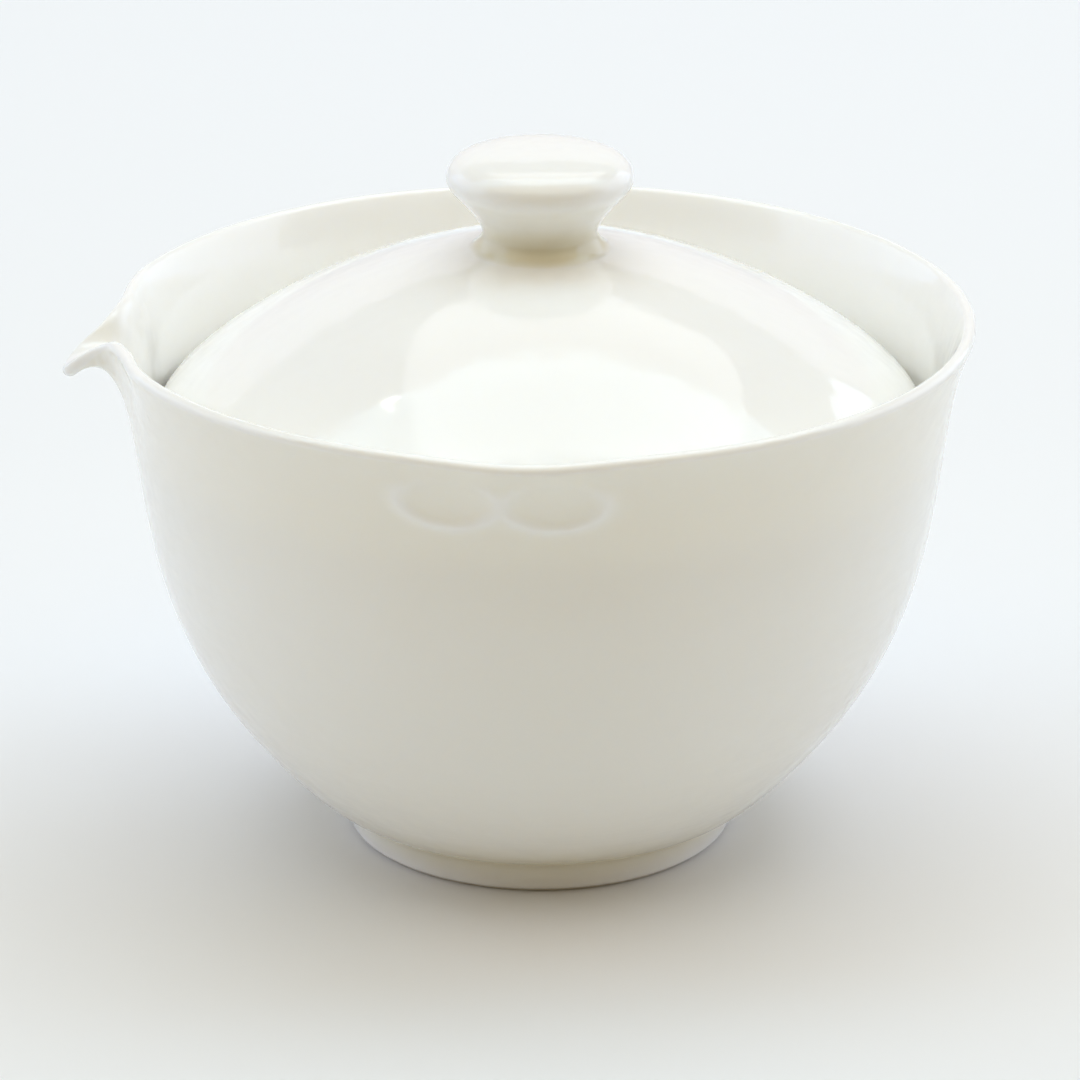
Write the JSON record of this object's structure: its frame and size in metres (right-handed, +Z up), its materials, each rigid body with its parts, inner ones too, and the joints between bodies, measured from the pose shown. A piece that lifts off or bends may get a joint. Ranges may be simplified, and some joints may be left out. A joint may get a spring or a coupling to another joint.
{
  "type": "gaiwan",
  "caption": "Handle-less porcelain pouring gaiwan: deep footed bowl with a drawn lip and finger rests, and a domed lid with a disc knob that lifts out.",
  "frame": {"origin": "centre of the foot ring's resting face", "axes": "+Z up; the pouring lip points along -X; the finger rests face about -Y and +Y"},
  "size_m": [0.0966, 0.0936, 0.0763],
  "materials": {
    "white_glaze": "high-fired translucent porcelain under a clear, glossy, faintly warm white glaze",
    "bare_porcelain": "unglazed vitrified porcelain, matt and very fine grained"
  },
  "bodies": {
    "bowl": {"bowl_shell": "white_glaze", "foot_ring": "white_glaze", "lid_ledge": "bare_porcelain"},
    "lid": {"lid_dome": "white_glaze", "lid_knob": "white_glaze"}
  },
  "joints": [
    {"name": "lid_lift", "type": "slide", "parent": "bowl", "child": "lid", "axis": [0, 0, 1], "range_m": [0, 0.06]}
  ]
}
